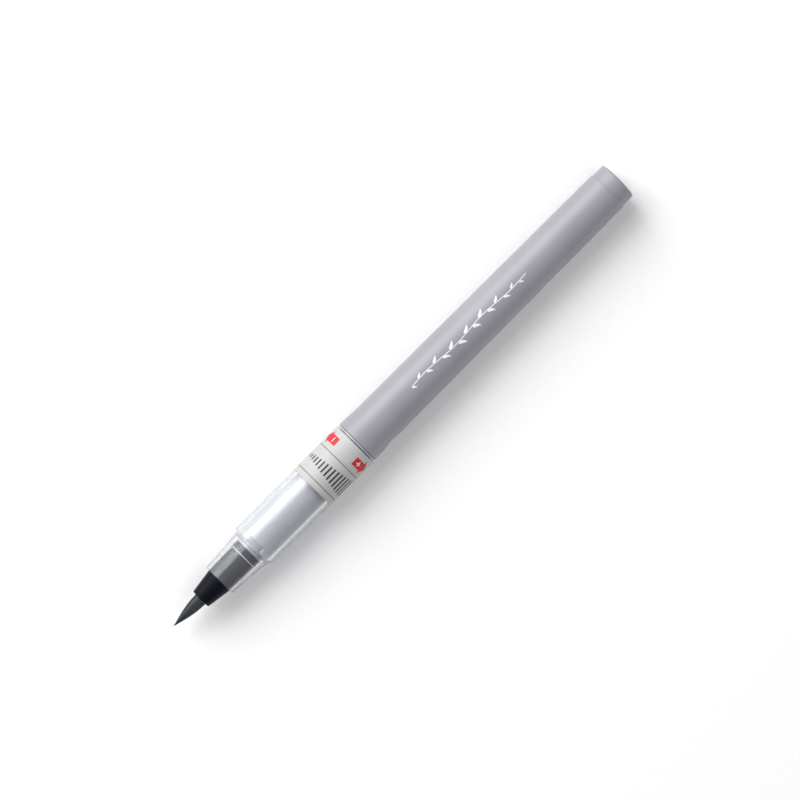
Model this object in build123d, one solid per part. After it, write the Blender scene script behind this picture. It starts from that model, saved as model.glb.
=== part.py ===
from build123d import *
import os
from math import cos, degrees, pi, radians

# A calligraphy brush pen, without its cap, lying on its side. Twisting its clear grip slides the ferrule along
# the bristles, which makes the brush firmer or softer.
# Lengths are in millimetres. A station is a distance along the pen's axis from the point of the brush.
# +X runs from the brush to the tail and +Z is up. The origin is under the middle of the pen, on the surface
# that it lies on. Angles round the axis are in degrees. They start at the top and run towards -Y.

# Stations of what shows from outside
LENGTH = 165.0
FERRULE_FRONT = 10.0
GRIP_FRONT = 17.0
SHOULDER = 29.5
LABEL_FRONT = 51.3
LABEL_REAR = 67.0
GRIP_REAR = 67.2
BARREL_FRONT = 67.9
FLARE_REAR = 77.0
BARREL_REAR = 160.7

# Radii of what shows from outside
LABEL_RADIUS = 6.7
GRIP_RADIUS = 6.6
NOSE_FRONT_RADIUS = 4.75
NOSE_REAR_RADIUS = 5.75
WASHER_RADIUS = 6.35
BARREL_FRONT_RADIUS = 6.56
BARREL_FLARE_RADIUS = 6.28
BARREL_REAR_RADIUS = 5.84
PLUG_RADIUS = 5.58
FERRULE_FRONT_RADIUS = 2.78
FERRULE_RADIUS = 3.8
TUFT_RADIUS = 1.85

# Clearances between radii
RUNNING = 0.1  # pieces that turn or slide on each other
FITTED = 0.02  # pieces that are pressed or glued together
WIPING = 0.05  # the rubber seal on the feed tube
OVERCUT = 0.5  # how far a cut reaches past the wall that it goes through

# The twist: two pins on the drive nut run in two helical grooves inside the grip, and slots in the fixed
# guide sleeve stop them turning, so the ferrule slides.
LEAD = 6.0  # slide per turn of the grip
TWIST = 120.0  # degrees each way from the middle
STARTS = 2
SLIDE = LEAD * TWIST / 360
PIN_STATION = 58.0
PIN_RADIUS = 0.8
PIN_FOOT = 3.0
GROOVE_FLOOR = 5.8
PIN_TOP = GROOVE_FLOOR - RUNNING

# The grip's bores: its lip round the ferrule, its nose, and its main bore
LIP_BORE = FERRULE_RADIUS + 0.12
LIP_REAR = 21.5
NOSE_BORE = 4.15
NOSE_BORE_REAR = SHOULDER - 0.8
GRIP_BORE = 5.2

# The guide sleeve, with the ring that drags on the grip and the bead that the grip snaps over
GUIDE_RADIUS = GRIP_BORE - RUNNING
GUIDE_BORE = 4.3
GUIDE_REAR = 76.0
TAB_FRONT = SHOULDER - 0.2
TAB_REAR = 31.1
RING_FRONT = 52.2
RING_REAR = 53.3
RING_SEAT = 4.65
SNAP_STATION = 65.7
SNAP_RADIUS = 5.38
SNAP_SLOPE = 0.4

# The sliding pieces
FERRULE_REAR = 25.65
COLLAR_FRONT = 25.95
COLLAR_REAR = 27.9
COLLAR_RADIUS = 4.05
CARRIER_FRONT = 22.0
CARRIER_NOSE_RADIUS = 3.33
CARRIER_FLANGE_RADIUS = 3.95
CARRIER_RADIUS = 3.6
CARRIER_SPIGOT_RADIUS = 3.0
CARRIER_BORE = 2.75
CARRIER_REAR = 56.0
NUT_RADIUS = GUIDE_BORE - RUNNING
NUT_FRONT = 49.8
NUT_REAR = 61.0
SEAL_FRONT = 54.2

# The brush and the way the ink takes to it
HOLDER_FRONT = 17.3
HOLDER_REAR = 28.5
HOLDER_RADIUS = 2.6
ROOT_FRONT = 20.5
ROOT_REAR = 21.5
ROOT_RADIUS = 2.2
FEED_RADIUS = 2.2
FEED_REAR = 66.2
BULKHEAD_FRONT = 63.8
WICK_FRONT = 16.5
WICK_REAR = 82.0
WICK_RADIUS = 1.1
RESERVOIR_FRONT = 66.5
RESERVOIR_REAR = 151.2
RESERVOIR_RADIUS = 3.95
FILM = 0.15

# Inside the barrel
BARREL_BORE = 4.85
RIB_FRONT = 85.0
RIB_REAR = 148.0
RIB_WIDTH = 0.8
PLUG_FRONT = 151.5
PLUG_BORE = 3.7


def place(shape):
    """Moves a shape from stations on the X axis to where the pen lies."""
    return Pos(-LENGTH / 2, 0, LABEL_RADIUS) * shape


def turned(*outline):
    """The solid that a closed outline of (station, radius) points sweeps round the axis."""
    return revolve(make_face(Polyline(*outline, close=True)), Axis.X)


def tube(start, end, outer, inner):
    """A plain round tube."""
    return turned((start, inner), (end, inner), (end, outer), (start, outer))


def arc_block(start, end, outer, inner, middle, width):
    """A sector of a tube, width degrees wide, centred on the angle middle."""
    section = make_face(Polyline((start, inner), (end, inner), (end, outer), (start, outer), close=True))
    return Rot(X=90 + middle - width / 2) * revolve(section, Axis.X, revolution_arc=width)


def around(count, first=0.0):
    """Equally spaced angles round the axis."""
    return [first + step * 360 / count for step in range(count)]


def edges_at(shape, station, radius):
    """The circular edges of a turned shape at one station and radius."""
    return [
        edge
        for edge in shape.edges().filter_by(GeomType.CIRCLE)
        if abs(edge.arc_center.X - station) < 1e-3 and abs(edge.radius - radius) < 1e-3
    ]


def brush_tuft():
    """The bristles as one solid, from the point to the fused flange that their roots are melted into."""
    belly = Spline((0, 0.04), (1.7, 0.5), (4.3, 1.15), (6.9, 1.6), (FERRULE_FRONT, 1.8), (13.0, TUFT_RADIUS))
    rest = Polyline(
        belly @ 1,
        (ROOT_FRONT, TUFT_RADIUS),
        (ROOT_FRONT, ROOT_RADIUS),
        (ROOT_REAR, ROOT_RADIUS),
        (ROOT_REAR, WICK_RADIUS + FITTED),
        (WICK_FRONT, WICK_RADIUS + FITTED),
        (WICK_FRONT, 0),
        (0, 0),
        belly @ 0,
    )
    return revolve(make_face(belly + rest), Axis.X)


def ferrule():
    """The black nose cone: a narrow mouth that grips the bristles, and a straight skirt behind it."""
    mouth = TUFT_RADIUS + RUNNING
    mouth_rear = FERRULE_FRONT + 1
    throat_rear = 14.5
    seat = 21.8
    front_rounding = 0.35
    body = turned(
        (FERRULE_FRONT, mouth),
        (mouth_rear, mouth),
        (throat_rear, CARRIER_BORE),
        (seat, CARRIER_BORE),
        (seat, CARRIER_NOSE_RADIUS + FITTED),
        (FERRULE_REAR, CARRIER_NOSE_RADIUS + FITTED),
        (FERRULE_REAR, FERRULE_RADIUS),
        (GRIP_FRONT, FERRULE_RADIUS),
        (FERRULE_FRONT, FERRULE_FRONT_RADIUS),
    )
    body = fillet(edges_at(body, FERRULE_FRONT, FERRULE_FRONT_RADIUS), front_rounding)
    index_mark = arc_block(18.5, 19.6, FERRULE_RADIUS + 0.08, FERRULE_RADIUS - 0.1, middle=-15, width=14)
    return body + index_mark


def ferrule_collar():
    """The black ring behind the ferrule, which stops against the lip inside the grip."""
    return tube(COLLAR_FRONT, COLLAR_REAR, COLLAR_RADIUS, CARRIER_NOSE_RADIUS + FITTED)


def ferrule_carrier():
    """The long tube that carries the ferrule and its collar on its nose and the drive nut on its spigot."""
    return turned(
        (CARRIER_FRONT, CARRIER_BORE),
        (CARRIER_FRONT, CARRIER_NOSE_RADIUS),
        (FERRULE_REAR, CARRIER_NOSE_RADIUS),
        (FERRULE_REAR, CARRIER_FLANGE_RADIUS),
        (COLLAR_FRONT, CARRIER_FLANGE_RADIUS),
        (COLLAR_FRONT, CARRIER_NOSE_RADIUS),
        (COLLAR_REAR, CARRIER_NOSE_RADIUS),
        (COLLAR_REAR, CARRIER_RADIUS),
        (NUT_FRONT, CARRIER_RADIUS),
        (NUT_FRONT, CARRIER_SPIGOT_RADIUS),
        (CARRIER_REAR, CARRIER_SPIGOT_RADIUS),
        (CARRIER_REAR, CARRIER_BORE),
    )


def pin(top, angle):
    """A round pin that stands out from the axis at the pin station."""
    upright = Pos(PIN_STATION, 0, (PIN_FOOT + top) / 2) * Cylinder(PIN_RADIUS, top - PIN_FOOT)
    return Rot(X=angle) * upright


def drive_nut():
    """The dark nut on the carrier, drilled for the two drive pins."""
    spigot_bore = CARRIER_SPIGOT_RADIUS + FITTED
    feed_bore = FEED_RADIUS + RUNNING
    nut = turned(
        (NUT_FRONT, spigot_bore),
        (CARRIER_REAR, spigot_bore),
        (CARRIER_REAR, feed_bore),
        (NUT_REAR, feed_bore),
        (NUT_REAR, NUT_RADIUS),
        (NUT_FRONT, NUT_RADIUS),
    )
    for angle in around(STARTS):
        nut -= pin(NUT_RADIUS + OVERCUT, angle)
    return nut


def drive_pins():
    """The two pins that reach from the nut, through the guide sleeve's slots, into the grip's grooves."""
    return Compound([pin(PIN_TOP, angle) for angle in around(STARTS)])


def helical_groove(angle):
    """The path that one drive pin takes through the grip's wall, with a little room at its sides and ends."""
    side_room = 0.14
    end_room = 0.2
    slope = radians(10)
    width = 2 * (PIN_RADIUS / cos(slope) + side_room)
    depth = 2 * (GROOVE_FLOOR - GRIP_BORE)
    span = 2 * (TWIST + degrees((PIN_RADIUS + end_room) / GRIP_BORE))
    height = LEAD * span / 360
    path = Helix(LEAD, height, GRIP_BORE, lefthand=True)
    section = Plane(origin=path @ 0, x_dir=(1, 0, 0), z_dir=(0, -1, 0)) * Rectangle(depth, width)
    groove = sweep(section, path=path, is_frenet=True)
    along = Rot(Y=90) * (Pos(0, 0, -height / 2) * groove)
    return Rot(X=angle + span / 2 + 180) * (Pos(PIN_STATION, 0, 0) * along)


def entry_channel(angle):
    """The straight channel that lets a drive pin into its groove from the grip's rear end."""
    front = PIN_STATION + SLIDE - PIN_RADIUS
    return arc_block(front, GRIP_REAR, GROOVE_FLOOR, GRIP_BORE - OVERCUT, middle=angle - TWIST, width=20)


def grip_sleeve():
    """The clear grip: a tapered nose that the cap closes on, a straight barrel, and grooves inside its rear."""
    shoulder_rounding = 0.4
    notch_depth = 0.35
    notch_width = 43
    snap_front = SNAP_STATION - SNAP_SLOPE - RUNNING
    snap_rear = SNAP_STATION + SNAP_SLOPE + RUNNING
    shell = turned(
        (GRIP_FRONT, LIP_BORE),
        (LIP_REAR, LIP_BORE),
        (LIP_REAR, NOSE_BORE),
        (NOSE_BORE_REAR, NOSE_BORE),
        (NOSE_BORE_REAR, GRIP_BORE),
        (GRIP_REAR, GRIP_BORE),
        (GRIP_REAR, GRIP_RADIUS),
        (SHOULDER, GRIP_RADIUS),
        (SHOULDER, NOSE_REAR_RADIUS),
        (GRIP_FRONT, NOSE_FRONT_RADIUS),
    )
    shell = fillet(edges_at(shell, SHOULDER, GRIP_RADIUS), shoulder_rounding)
    for angle in around(3, first=-14):
        notch_front = GRIP_FRONT - OVERCUT
        notch_rear = GRIP_FRONT + notch_depth
        shell -= arc_block(notch_front, notch_rear, LIP_BORE + 0.4, LIP_BORE - OVERCUT, angle, notch_width)
    for angle in around(STARTS):
        shell -= helical_groove(angle)
        shell -= entry_channel(angle)
    return shell - tube(snap_front, snap_rear, SNAP_RADIUS + RUNNING, GRIP_BORE - OVERCUT)


def grip_label():
    """The printed film round the rear of the grip."""
    return tube(LABEL_FRONT, LABEL_REAR, LABEL_RADIUS, GRIP_RADIUS)


def guide_sleeve():
    """The frosted sleeve inside the grip, fixed in the barrel. Its slots keep the drive pins from turning."""
    window_width = 55
    key_rear = 46.2
    key_height = 0.08
    slot_reach = PIN_RADIUS + SLIDE + RUNNING
    slot_width = 2 * (PIN_RADIUS + RUNNING)
    sleeve = turned(
        (TAB_FRONT, GUIDE_BORE),
        (GUIDE_REAR, GUIDE_BORE),
        (GUIDE_REAR, GUIDE_RADIUS),
        (SNAP_STATION + SNAP_SLOPE, GUIDE_RADIUS),
        (SNAP_STATION, SNAP_RADIUS),
        (SNAP_STATION - SNAP_SLOPE, GUIDE_RADIUS),
        (RING_REAR, GUIDE_RADIUS),
        (RING_REAR, RING_SEAT),
        (RING_FRONT, RING_SEAT),
        (RING_FRONT, GUIDE_RADIUS),
        (TAB_FRONT, GUIDE_RADIUS),
    )
    for angle in around(3):
        outer = GUIDE_RADIUS + OVERCUT
        inner = GUIDE_BORE - OVERCUT
        sleeve -= arc_block(TAB_FRONT - OVERCUT, TAB_REAR, outer, inner, angle, window_width)
    for angle in around(4, first=40):
        outer = GUIDE_RADIUS + key_height
        inner = GUIDE_RADIUS - 0.2
        sleeve += arc_block(TAB_REAR + OVERCUT, key_rear, outer, inner, angle, width=3)
    for angle in around(STARTS):
        slot = Pos(PIN_STATION, 0, GRIP_RADIUS / 2) * Box(2 * slot_reach, slot_width, GRIP_RADIUS)
        sleeve -= Rot(X=angle) * slot
    return sleeve


def friction_ring():
    """The rubber ring that drags on the grip's bore, so the setting stays where it is put."""
    return tube(RING_FRONT + FITTED, RING_REAR - FITTED, GRIP_BORE - FITTED, RING_SEAT + FITTED)


def brush_holder():
    """The socket whose front edge holds the fused flange of the bristles against the feed tube."""
    return turned(
        (HOLDER_FRONT, TUFT_RADIUS + FITTED),
        (ROOT_FRONT - FITTED, TUFT_RADIUS + FITTED),
        (ROOT_FRONT - FITTED, ROOT_RADIUS + FITTED),
        (HOLDER_REAR, ROOT_RADIUS + FITTED),
        (HOLDER_REAR, HOLDER_RADIUS),
        (HOLDER_FRONT, HOLDER_RADIUS),
    )


def feed_tube():
    """The tube round the wick, which carries the brush holder on its front end."""
    return tube(ROOT_REAR + FITTED, FEED_REAR, FEED_RADIUS, WICK_RADIUS + FITTED)


def feed_bulkhead():
    """The disc that fixes the feed tube in the guide sleeve and keeps ink out of the mechanism."""
    return tube(BULKHEAD_FRONT, FEED_REAR, GUIDE_BORE - FITTED, FEED_RADIUS + FITTED)


def wiper_seal():
    """The rubber ring in the carrier's rear mouth, held there by the nut, that wipes the feed tube."""
    return tube(SEAL_FRONT, CARRIER_REAR - FITTED, CARRIER_BORE - FITTED, FEED_RADIUS + WIPING)


def thrust_washer():
    """The slippery ring that shows as a thin band between the grip and the barrel."""
    return tube(GRIP_REAR + RUNNING, BARREL_FRONT - RUNNING, WASHER_RADIUS, GUIDE_RADIUS + FITTED)


def relay_wick():
    """The fibre rod that carries ink from the reservoir to the bristles, with a pointed rear end."""
    point_length = 2
    point_radius = 0.25
    return turned(
        (WICK_FRONT + FITTED, 0),
        (WICK_FRONT + FITTED, WICK_RADIUS),
        (WICK_REAR - point_length, WICK_RADIUS),
        (WICK_REAR, point_radius),
        (WICK_REAR, 0),
    )


def ink_reservoir():
    """The fibre rod that holds the ink, pierced at its front by the wick."""
    pierced_radius = WICK_RADIUS + FITTED
    pierced_rear = WICK_REAR + 0.2
    return turned(
        (RESERVOIR_FRONT, pierced_radius),
        (RESERVOIR_FRONT, RESERVOIR_RADIUS),
        (RESERVOIR_REAR, RESERVOIR_RADIUS),
        (RESERVOIR_REAR, 0),
        (pierced_rear, 0),
        (pierced_rear, pierced_radius),
    )


def reservoir_film():
    """The plastic film wrapped round the reservoir."""
    inner = RESERVOIR_RADIUS + FITTED
    return tube(RESERVOIR_FRONT, RESERVOIR_REAR, inner + FILM, inner)


def barrel_tube():
    """The grey barrel: flared to meet the grip, slightly tapered to the tail, and ribbed inside."""
    front_rounding = 0.2
    rear_rounding = 0.12
    guide_seat = GUIDE_REAR + 0.2
    flare = Spline(
        (BARREL_FRONT, BARREL_FRONT_RADIUS),
        (FLARE_REAR, BARREL_FLARE_RADIUS),
        tangents=[(1, -0.05), (1, -0.006)],
    )
    rest = Polyline(
        flare @ 1,
        (BARREL_REAR, BARREL_REAR_RADIUS),
        (BARREL_REAR, BARREL_BORE),
        (guide_seat, BARREL_BORE),
        (guide_seat, GUIDE_RADIUS + FITTED),
        (BARREL_FRONT, GUIDE_RADIUS + FITTED),
        flare @ 0,
    )
    body = revolve(make_face(flare + rest), Axis.X)
    body = fillet(edges_at(body, BARREL_FRONT, BARREL_FRONT_RADIUS), front_rounding)
    body = fillet(edges_at(body, BARREL_REAR, BARREL_REAR_RADIUS), rear_rounding)
    rib_inner = RESERVOIR_RADIUS + FILM + 2 * FITTED
    rib_outer = BARREL_BORE + 0.2
    rib = Pos((RIB_FRONT + RIB_REAR) / 2, 0, (rib_inner + rib_outer) / 2)
    rib *= Box(RIB_REAR - RIB_FRONT, RIB_WIDTH, rib_outer - rib_inner)
    for angle in around(4):
        body += Rot(X=angle) * rib
    return body


def tail_plug():
    """The grey plug that closes the barrel, with a slightly domed end that the cap is posted on."""
    rim = 0.5
    dome = 0.35
    end_wall = 2
    end = Spline((LENGTH - dome, PLUG_RADIUS - rim), (LENGTH, 0), tangents=[(0.13, -1), (0, -1)])
    corner = TangentArc((LENGTH - dome - rim, PLUG_RADIUS), end @ 0, tangent=(1, 0))
    rest = Polyline(
        end @ 1,
        (LENGTH - end_wall, 0),
        (LENGTH - end_wall, PLUG_BORE),
        (PLUG_FRONT, PLUG_BORE),
        (PLUG_FRONT, BARREL_BORE - FITTED),
        (BARREL_REAR, BARREL_BORE - FITTED),
        (BARREL_REAR, PLUG_RADIUS),
        corner @ 0,
    )
    return revolve(make_face(corner + end + rest), Axis.X)


PIECES = [
    brush_tuft,
    ferrule,
    ferrule_collar,
    ferrule_carrier,
    drive_nut,
    drive_pins,
    wiper_seal,
    grip_sleeve,
    grip_label,
    guide_sleeve,
    friction_ring,
    thrust_washer,
    brush_holder,
    feed_tube,
    feed_bulkhead,
    relay_wick,
    ink_reservoir,
    reservoir_film,
    barrel_tube,
    tail_plug,
]

os.makedirs("parts", exist_ok=True)
for piece in PIECES:
    export_step(place(piece()), f"parts/{piece.__name__}.step")
print(f"slide per radian of twist: {LEAD / (2 * pi) / 1000:.8f} m")
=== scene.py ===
# %% [markdown]
# # A brush pen whose tip can be made firmer or softer
# This is a slim calligraphy pen with a tuft of fine bristles instead of a nib. Its black ferrule slides along the
# bristles when the clear grip is twisted, and that makes the tip firmer or softer. The mechanism is an engineering
# model that is loaded as it is. Blender adds what that model leaves plain: the bristles one by one, the printed
# film, the raised printing, and every surface finish.

# %% Load the model and keep its box
from math import ceil, cos, hypot, pi, radians, sin, sqrt, tau

import bmesh
import bpy
from mathutils import Matrix, Vector
from mathutils.bvhtree import BVHTree


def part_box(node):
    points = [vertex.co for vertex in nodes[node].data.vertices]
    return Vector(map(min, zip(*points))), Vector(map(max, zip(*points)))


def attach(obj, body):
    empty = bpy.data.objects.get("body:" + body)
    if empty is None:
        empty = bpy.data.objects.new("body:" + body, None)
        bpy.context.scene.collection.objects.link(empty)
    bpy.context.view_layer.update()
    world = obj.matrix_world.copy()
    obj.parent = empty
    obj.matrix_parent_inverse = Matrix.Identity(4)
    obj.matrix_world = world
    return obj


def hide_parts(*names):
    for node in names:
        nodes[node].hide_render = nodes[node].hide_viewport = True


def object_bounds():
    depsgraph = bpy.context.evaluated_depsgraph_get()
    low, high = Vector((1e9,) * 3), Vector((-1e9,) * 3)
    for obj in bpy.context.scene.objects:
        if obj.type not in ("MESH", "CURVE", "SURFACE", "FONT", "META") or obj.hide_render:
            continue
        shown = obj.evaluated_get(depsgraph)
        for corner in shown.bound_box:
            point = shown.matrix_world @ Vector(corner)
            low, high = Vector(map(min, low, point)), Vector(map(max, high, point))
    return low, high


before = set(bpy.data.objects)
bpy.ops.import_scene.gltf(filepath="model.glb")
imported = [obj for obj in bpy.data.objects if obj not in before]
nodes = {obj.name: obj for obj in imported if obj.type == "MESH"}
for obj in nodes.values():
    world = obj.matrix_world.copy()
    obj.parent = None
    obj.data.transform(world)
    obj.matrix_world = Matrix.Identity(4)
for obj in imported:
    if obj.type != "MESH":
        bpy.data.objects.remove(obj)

cad_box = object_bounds()
print("CAD nodes:", sorted(nodes))

# %% [markdown]
# ## Where things are on the pen
# A pen maker measures along the pen from the tip, so a place here is a station: millimetres from the point of the
# bristles. The model itself says where its tip, its axis and its edges are, and everything below is worked out from
# those, so nothing has to be fitted by eye.

# %% Stations, in millimetres from the tip
MM = 0.001
TIP_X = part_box("brush_tuft")[0].x
AXIS_Z = (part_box("barrel_tube")[0].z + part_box("barrel_tube")[1].z) / 2
TAIL = (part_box("tail_plug")[1].x - TIP_X) / MM


def x_at(station):
    """The X of a station, in metres."""
    return TIP_X + station * MM


def ends(node):
    """The first and the last station of a CAD node."""
    low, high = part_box(node)
    return (low.x - TIP_X) / MM, (high.x - TIP_X) / MM


def half_height(node):
    """The outer radius of a round CAD node, in millimetres."""
    low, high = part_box(node)
    return (high.z - low.z) / 2 / MM


print(f"pen {TAIL:.1f} mm long, film from {ends('grip_label')[0]:.1f} to {ends('grip_label')[1]:.1f} mm")

# %% [markdown]
# ## Small helpers for node trees
# Shader trees and geometry trees are built the same way here: add a node, then fill its inputs with either a value or
# the output of another node. One helper does both, so each tree below reads like a recipe.

# %% The node helper


def add(tree, kind, values=(), **settings):
    """Adds a node, sets its properties, and fills its inputs from {input name or number: value or socket}."""
    node = tree.nodes.new(kind)
    for name, value in settings.items():
        setattr(node, name, value)
    for key, value in dict(values).items():
        socket = node.inputs[key]
        if isinstance(value, bpy.types.NodeSocket):
            tree.links.new(value, socket)
        else:
            socket.default_value = value
    return node


def math(tree, operation, first, second=0.0, third=0.0):
    """One Math node. It returns the output socket."""
    values = {0: first, 1: second}
    if operation in {"MULTIPLY_ADD", "SMOOTH_MIN", "WRAP", "COMPARE"}:
        values[2] = third
    return add(tree, "ShaderNodeMath", values, operation=operation).outputs[0]


def blend_colours(tree, amount, first, second):
    """A colour that goes from the first to the second as amount goes from 0 to 1."""
    mix = add(tree, "ShaderNodeMix", data_type="RGBA")
    for socket, value in zip((mix.inputs[0], mix.inputs[6], mix.inputs[7]), (amount, first, second)):
        if isinstance(value, bpy.types.NodeSocket):
            tree.links.new(value, socket)
        else:
            socket.default_value = value
    return mix.outputs[2]


def spread(tree, value, low, high, new_low, new_high):
    """Maps a value from one range to another and stops at the ends."""
    values = {0: value, 1: low, 2: high, 3: new_low, 4: new_high}
    return add(tree, "ShaderNodeMapRange", values).outputs[0]


def colour(red, green, blue):
    """An opaque linear colour."""
    return (red, green, blue, 1.0)


# %% [markdown]
# ## Finishes that several materials share
# Moulded plastic is never one flat value. The mould's steel was spark eroded or polished, so the surface has a very
# fine grain, and handling leaves smudges and hairline scratches. Each effect is a shader group that is built once.
# A group puts out only values that change over the surface; each material decides how strongly it uses them.
# Object coordinates are in metres, so a scale of 4000 makes features of about a quarter of a millimetre.

# %% Shader group: the grain of moulded plastic


def shader_group(name, inputs, outputs):
    """An empty shader group with float inputs {name: default} and float outputs, and its two end nodes."""
    group = bpy.data.node_groups.new(name, "ShaderNodeTree")
    for socket_name, default in inputs.items():
        socket = group.interface.new_socket(socket_name, in_out="INPUT", socket_type="NodeSocketFloat")
        socket.default_value = default
    for socket_name in outputs:
        group.interface.new_socket(socket_name, in_out="OUTPUT", socket_type="NodeSocketFloat")
    return group, group.nodes.new("NodeGroupInput"), group.nodes.new("NodeGroupOutput")


def build_mould_grain():
    """Fine grain from the mould, and the slow change of tone that comes from how the plastic flowed."""
    group, given, result = shader_group("mould_grain", {"Grain Scale": 5000.0, "Flow Scale": 60.0}, ["Grain", "Flow"])
    place = add(group, "ShaderNodeTexCoord").outputs["Object"]
    grain = add(group, "ShaderNodeTexNoise", {"Vector": place, "Scale": given.outputs["Grain Scale"], "Detail": 3.0})
    flow = add(group, "ShaderNodeTexNoise", {"Vector": place, "Scale": given.outputs["Flow Scale"], "Detail": 2.0})
    group.links.new(spread(group, grain.outputs["Fac"], 0.3, 0.7, 0.0, 1.0), result.inputs["Grain"])
    group.links.new(spread(group, flow.outputs["Fac"], 0.3, 0.7, 0.0, 1.0), result.inputs["Flow"])
    return group


def build_handling():
    """Smudges from fingers, and hairline scratches that mostly run along the pen."""
    inputs = {"Smudge Scale": 140.0, "Scratch Scale": 900.0}
    group, given, result = shader_group("handling", inputs, ["Smudge", "Scratch"])
    place = add(group, "ShaderNodeTexCoord").outputs["Object"]
    smudge = add(group, "ShaderNodeTexNoise", {"Vector": place, "Scale": given.outputs["Smudge Scale"], "Detail": 4.0})
    along = add(group, "ShaderNodeMapping", {"Vector": place, "Scale": (0.06, 1.0, 1.0)}).outputs[0]
    scratch_scale = given.outputs["Scratch Scale"]
    scratch = add(group, "ShaderNodeTexNoise", {"Vector": along, "Scale": scratch_scale, "Detail": 1.0})
    group.links.new(spread(group, smudge.outputs["Fac"], 0.45, 0.75, 0.0, 1.0), result.inputs["Smudge"])
    group.links.new(spread(group, scratch.outputs["Fac"], 0.66, 0.72, 0.0, 1.0), result.inputs["Scratch"])
    return group


MOULD_GRAIN = build_mould_grain()
HANDLING = build_handling()
print("shader groups:", MOULD_GRAIN.name, HANDLING.name)

# %% [markdown]
# ## The materials
# Each material is one function. The part that moulded plastics share is in one helper: a base colour that drifts with
# the flow of the plastic, a roughness that the grain and the smudges change, and a faint bump. What makes a finish
# itself, such as its transmission or its coat, stays a plain number on the Principled shader.

# %% A moulded plastic


def new_material(name):
    """A material and its Principled shader."""
    material = bpy.data.materials.new(name)
    material.use_nodes = True
    return material, material.node_tree, material.node_tree.nodes["Principled BSDF"]


def use_group(tree, group, **values):
    """Places a shader group and sets its inputs. An underscore in a name stands for a space."""
    node = add(tree, "ShaderNodeGroup", node_tree=group)
    for name, value in values.items():
        node.inputs[name.replace("_", " ")].default_value = value
    return node


def set_plain(shader, **values):
    """Sets plain numbers on the shader. An underscore in a name stands for a space."""
    for name, value in values.items():
        shader.inputs[name.replace("_", " ")].default_value = value


def moulded(name, dark, light, roughness, grain_height, smudge=0.06, grain_scale=5000.0, **plain):
    """A moulded plastic between two tones, with grain, smudges and hairline scratches."""
    material, tree, shader = new_material(name)
    grain = use_group(tree, MOULD_GRAIN, Grain_Scale=grain_scale)
    handled = use_group(tree, HANDLING)
    tone = math(tree, "MULTIPLY_ADD", grain.outputs["Grain"], 0.3, math(tree, "MULTIPLY", grain.outputs["Flow"], 0.7))
    tree.links.new(blend_colours(tree, tone, dark, light), shader.inputs["Base Color"])
    rough = math(tree, "MULTIPLY_ADD", handled.outputs["Smudge"], smudge, roughness)
    rough = math(tree, "MULTIPLY_ADD", grain.outputs["Grain"], 0.05, rough)
    rough = math(tree, "MULTIPLY_ADD", handled.outputs["Scratch"], 0.08, rough)
    tree.links.new(rough, shader.inputs["Roughness"])
    height = math(tree, "MULTIPLY_ADD", handled.outputs["Scratch"], -0.5, grain.outputs["Grain"])
    bump = add(tree, "ShaderNodeBump", {"Height": height, "Strength": 0.5, "Distance": grain_height})
    tree.links.new(bump.outputs[0], shader.inputs["Normal"])
    set_plain(shader, **plain)
    return material, tree, shader


# %% The opaque plastics and the rubber
barrel_grey = moulded(
    "barrel_grey",
    colour(0.265, 0.262, 0.295),
    colour(0.295, 0.292, 0.325),
    roughness=0.36,
    grain_height=0.000004,
    IOR=1.5,
)[0]
black_gloss = moulded(
    "black_gloss",
    colour(0.0025, 0.003, 0.006),
    colour(0.006, 0.007, 0.012),
    roughness=0.42,
    grain_height=0.000003,
    smudge=0.12,
    IOR=1.45,
    Specular_IOR_Level=0.12,
)[0]
pale_plastic = moulded(
    "pale_plastic",
    colour(0.46, 0.465, 0.48),
    colour(0.54, 0.545, 0.56),
    roughness=0.38,
    grain_height=0.000003,
    IOR=1.5,
)[0]
washer_white = moulded(
    "washer_white",
    colour(0.34, 0.34, 0.36),
    colour(0.42, 0.42, 0.44),
    roughness=0.3,
    grain_height=0.000003,
    IOR=1.5,
)[0]
seal_rubber = moulded(
    "seal_rubber",
    colour(0.012, 0.012, 0.013),
    colour(0.022, 0.022, 0.023),
    roughness=0.62,
    grain_height=0.00001,
    IOR=1.48,
)[0]

# %% [markdown]
# ## Clear and frosted plastic
# The grip is moulded from clear plastic and polished, but it isn't as clean as glass: a little light scatters in it,
# so the black ferrule behind it looks grey-blue. A Transmission Weight just under one leaves that share of the light
# to scatter. Glass also keeps lamps from lighting what is behind it, so for shadow rays the material turns into a
# Transparent shader, and the white sleeve inside stays as bright as it really is. The guide sleeve is the same kind
# of plastic with a frosted surface and much more scatter.

# %% The clear grip and the frosted sleeve


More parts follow.
